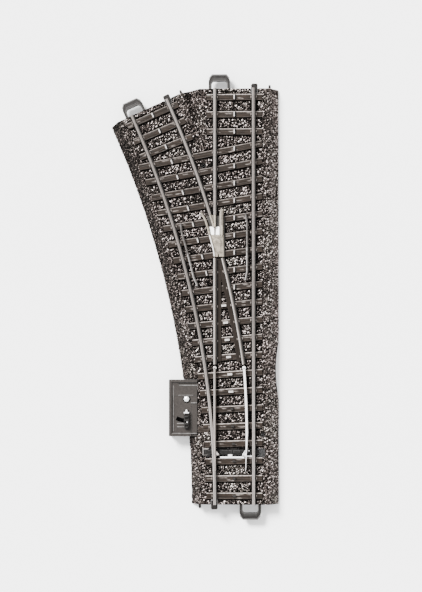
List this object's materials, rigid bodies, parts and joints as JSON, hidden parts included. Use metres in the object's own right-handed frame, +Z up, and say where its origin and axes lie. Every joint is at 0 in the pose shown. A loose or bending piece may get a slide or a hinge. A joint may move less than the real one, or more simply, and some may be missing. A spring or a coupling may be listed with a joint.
{
  "type": "model railway turnout",
  "caption": "Left-hand model railway turnout on a moulded roadbed, with pivoted switch blades, a cast frog and a hand lever.",
  "frame": {"origin": "middle of the toe end, between the running rails, on the surface that the turnout lies on", "axes": "+Z up, +Y along the straight track away from the toe, +X to the right of the straight track, so the curved track leaves towards -X"},
  "size_m": [0.0769, 0.2025, 0.0103],
  "materials": {
    "ballast_plastic": "speckled grey-brown ballast moulding with dark sleepers",
    "box_plastic": "satin grey-brown moulding",
    "dark_plastic": "satin dark brown-black moulding",
    "guard_plastic": "satin brown moulding",
    "rail_steel": "warm grey steel, worn bright on the head",
    "cast_frog": "pale satin die-casting",
    "contact_steel": "dull stamped steel"
  },
  "bodies": {
    "roadbed": {"roadbed": "ballast_plastic", "stock_rail_straight": "rail_steel", "stock_rail_curved": "rail_steel", "closure_rail_straight": "rail_steel", "closure_rail_curved": "rail_steel", "exit_rail_straight": "rail_steel", "exit_rail_diverging": "rail_steel", "wing_rail": "rail_steel", "frog": "cast_frog", "guard_rail_straight": "guard_plastic", "guard_rail_diverging": "guard_plastic", "flangeway_strip_straight": "dark_plastic", "flangeway_strip_curved": "dark_plastic", "throw_bar_guide": "dark_plastic", "guide_screw_1": "contact_steel", "guide_screw_2": "contact_steel", "lever_housing": "box_plastic", "lever_cover": "box_plastic", "lever_rivet": "cast_frog", "detent_spring": "contact_steel", "contact_strip_shared": "contact_steel", "contact_strip_straight": "contact_steel", "contact_strip_diverging": "contact_steel", "connector_loop_toe": "contact_steel", "rail_joiner_toe": "contact_steel", "connector_loop_straight": "contact_steel", "rail_joiner_straight": "contact_steel", "connector_loop_diverging": "contact_steel", "rail_joiner_diverging": "contact_steel"},
    "hand_lever": {"lever_arm": "dark_plastic", "lever_handle": "box_plastic"},
    "throw_bar": {"throw_bar": "dark_plastic", "drive_link": "contact_steel"},
    "blade_left": {"blade_left": "rail_steel", "blade_clip_left": "contact_steel"},
    "blade_right": {"blade_right": "rail_steel", "blade_clip_right": "contact_steel"}
  },
  "joints": [
    {"name": "lever", "type": "hinge", "parent": "roadbed", "child": "hand_lever", "pos_m": [-0.0217, 0.0475, 0.0056], "axis": [0, 0, -1], "range_deg": [0, 22.42]},
    {"name": "throw_bar_slide", "type": "slide", "parent": "roadbed", "child": "throw_bar", "axis": [1, 0, 0], "range_m": [0, 0.0024]},
    {"name": "blade_left_heel", "type": "hinge", "parent": "roadbed", "child": "blade_left", "pos_m": [-0.00875, 0.0616, 0.008], "axis": [0, 0, 1], "range_deg": [0, 3.63]},
    {"name": "blade_right_heel", "type": "hinge", "parent": "roadbed", "child": "blade_right", "pos_m": [0.00448, 0.0616, 0.008], "axis": [0, 0, 1], "range_deg": [0, 3.63]}
  ],
  "couplings": [
    {"joint": "lever", "follows": "throw_bar_slide", "rad_per_m": 162.88},
    {"joint": "blade_left_heel", "follows": "throw_bar_slide", "rad_per_m": 26.264},
    {"joint": "blade_right_heel", "follows": "throw_bar_slide", "rad_per_m": 26.264}
  ]
}
